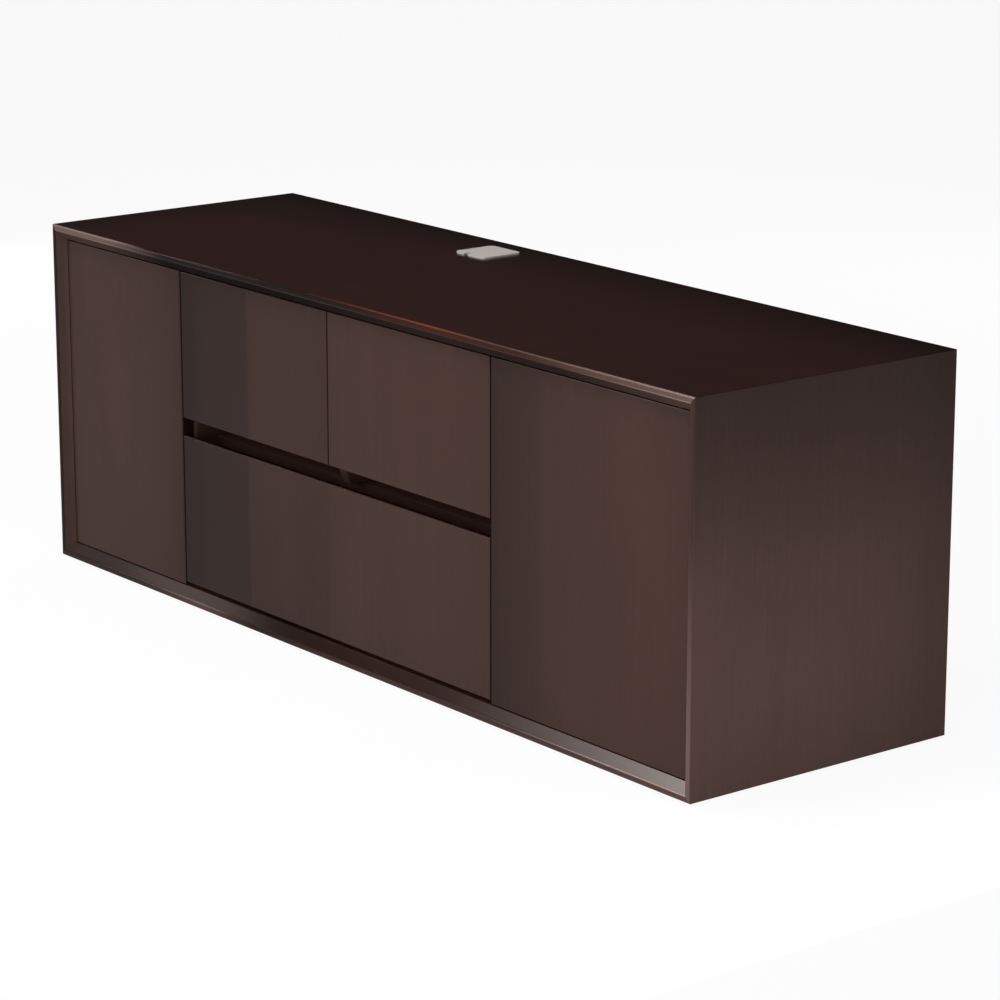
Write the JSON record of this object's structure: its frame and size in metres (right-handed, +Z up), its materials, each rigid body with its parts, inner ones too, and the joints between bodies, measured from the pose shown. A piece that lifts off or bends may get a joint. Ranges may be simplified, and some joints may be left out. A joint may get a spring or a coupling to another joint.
{
  "type": "side desk",
  "caption": "Low office side desk in dark veneer: a chamfered frame holding two push-latch cupboards, drawers pulled at a finger gap, and a lidded cable grommet in the top.",
  "frame": {"origin": "on the floor, under the middle of the cabinet", "axes": "+X to the right along the front, +Y from the front to the back, +Z up"},
  "size_m": [1.7, 0.51, 0.6025],
  "materials": {
    "veneer_top": "dark stained veneer, satin lacquer",
    "veneer_frame": "dark stained veneer, satin lacquer",
    "veneer_front": "dark stained veneer, satin lacquer, grain upright",
    "veneer_inside": "dark stained veneer, matt lacquer",
    "drawer_ply": "birch plywood, clear matt lacquer",
    "slide_zinc": "zinc-plated cold-rolled steel",
    "ball_steel": "polished steel balls in a pressed cage",
    "nickel": "nickel-plated steel",
    "brass_bush": "turned brass",
    "grommet_grey": "light grey ABS, fine satin texture",
    "latch_grey": "moulded grey nylon",
    "latch_black": "moulded black acetal",
    "glide_nylon": "moulded black nylon",
    "clear_rubber": "soft translucent polyurethane"
  },
  "bodies": {
    "cabinet": {"top_panel": "veneer_top", "bottom_panel": "veneer_frame", "left_side": "veneer_frame", "right_side": "veneer_frame", "back_panel": "veneer_frame", "left_partition": "veneer_inside", "right_partition": "veneer_inside", "centre_partition": "veneer_inside", "centre_shelf": "veneer_inside", "left_loose_shelf": "veneer_inside", "right_loose_shelf": "veneer_inside", "shelf_pins": "nickel", "glides": "glide_nylon", "door_pivot_pins": "nickel", "door_bumpers": "clear_rubber", "left_latch_housing": "latch_grey", "right_latch_housing": "latch_grey", "upper_left_slide_fixed_members": "slide_zinc", "upper_right_slide_fixed_members": "slide_zinc", "lower_slide_fixed_members": "slide_zinc", "grommet_frame": "grommet_grey"},
    "left_door": {"left_door": "veneer_front", "left_door_bushes": "brass_bush"},
    "right_door": {"right_door": "veneer_front", "right_door_bushes": "brass_bush"},
    "upper_left_drawer": {"upper_left_front": "veneer_front", "upper_left_box_front": "drawer_ply", "upper_left_box_left_side": "drawer_ply", "upper_left_box_right_side": "drawer_ply", "upper_left_box_back": "drawer_ply", "upper_left_box_bottom": "drawer_ply", "upper_left_front_screws": "nickel", "upper_left_slide_drawer_members": "slide_zinc"},
    "upper_right_drawer": {"upper_right_front": "veneer_front", "upper_right_box_front": "drawer_ply", "upper_right_box_left_side": "drawer_ply", "upper_right_box_right_side": "drawer_ply", "upper_right_box_back": "drawer_ply", "upper_right_box_bottom": "drawer_ply", "upper_right_front_screws": "nickel", "upper_right_slide_drawer_members": "slide_zinc"},
    "lower_drawer": {"lower_front": "veneer_front", "lower_box_front": "drawer_ply", "lower_box_left_side": "drawer_ply", "lower_box_right_side": "drawer_ply", "lower_box_back": "drawer_ply", "lower_box_bottom": "drawer_ply", "lower_front_screws": "nickel", "lower_slide_drawer_members": "slide_zinc"},
    "upper_left_middle_slides": {"upper_left_slide_middle_members": "slide_zinc", "upper_left_ball_cages": "ball_steel"},
    "upper_right_middle_slides": {"upper_right_slide_middle_members": "slide_zinc", "upper_right_ball_cages": "ball_steel"},
    "lower_middle_slides": {"lower_slide_middle_members": "slide_zinc", "lower_ball_cages": "ball_steel"},
    "left_latch_plunger": {"left_latch_plunger": "latch_black"},
    "right_latch_plunger": {"right_latch_plunger": "latch_black"},
    "grommet_lid": {"grommet_lid": "grommet_grey"}
  },
  "joints": [
    {"name": "left_door_hinge", "type": "hinge", "parent": "cabinet", "child": "left_door", "pos_m": [-0.797, -0.232, 0.302], "axis": [0, 0, -1], "range_deg": [0, 110]},
    {"name": "right_door_hinge", "type": "hinge", "parent": "cabinet", "child": "right_door", "pos_m": [0.797, -0.232, 0.302], "axis": [0, 0, 1], "range_deg": [0, 110]},
    {"name": "upper_left_drawer_slide", "type": "slide", "parent": "cabinet", "child": "upper_left_drawer", "axis": [0, -1, 0], "range_m": [0, 0.38]},
    {"name": "upper_left_middle_slide", "type": "slide", "parent": "cabinet", "child": "upper_left_middle_slides", "axis": [0, -1, 0], "range_m": [0, 0.19]},
    {"name": "upper_right_drawer_slide", "type": "slide", "parent": "cabinet", "child": "upper_right_drawer", "axis": [0, -1, 0], "range_m": [0, 0.38]},
    {"name": "upper_right_middle_slide", "type": "slide", "parent": "cabinet", "child": "upper_right_middle_slides", "axis": [0, -1, 0], "range_m": [0, 0.19]},
    {"name": "lower_drawer_slide", "type": "slide", "parent": "cabinet", "child": "lower_drawer", "axis": [0, -1, 0], "range_m": [0, 0.38]},
    {"name": "lower_middle_slide", "type": "slide", "parent": "cabinet", "child": "lower_middle_slides", "axis": [0, -1, 0], "range_m": [0, 0.19]},
    {"name": "left_plunger_slide", "type": "slide", "parent": "cabinet", "child": "left_latch_plunger", "axis": [0, -1, 0], "range_m": [0, 0.012]},
    {"name": "right_plunger_slide", "type": "slide", "parent": "cabinet", "child": "right_latch_plunger", "axis": [0, -1, 0], "range_m": [0, 0.012]},
    {"name": "grommet_lid_hinge", "type": "hinge", "parent": "cabinet", "child": "grommet_lid", "pos_m": [-0.168, 0.2052, 0.60125], "axis": [-1, 0, 0], "range_deg": [0, 100]}
  ],
  "couplings": [
    {"joint": "upper_left_middle_slide", "follows": "upper_left_drawer_slide", "ratio": 0.5},
    {"joint": "upper_right_middle_slide", "follows": "upper_right_drawer_slide", "ratio": 0.5},
    {"joint": "lower_middle_slide", "follows": "lower_drawer_slide", "ratio": 0.5},
    {"joint": "left_plunger_slide", "follows": "left_door_hinge", "m_per_rad": 0.00625},
    {"joint": "right_plunger_slide", "follows": "right_door_hinge", "m_per_rad": 0.00625}
  ]
}
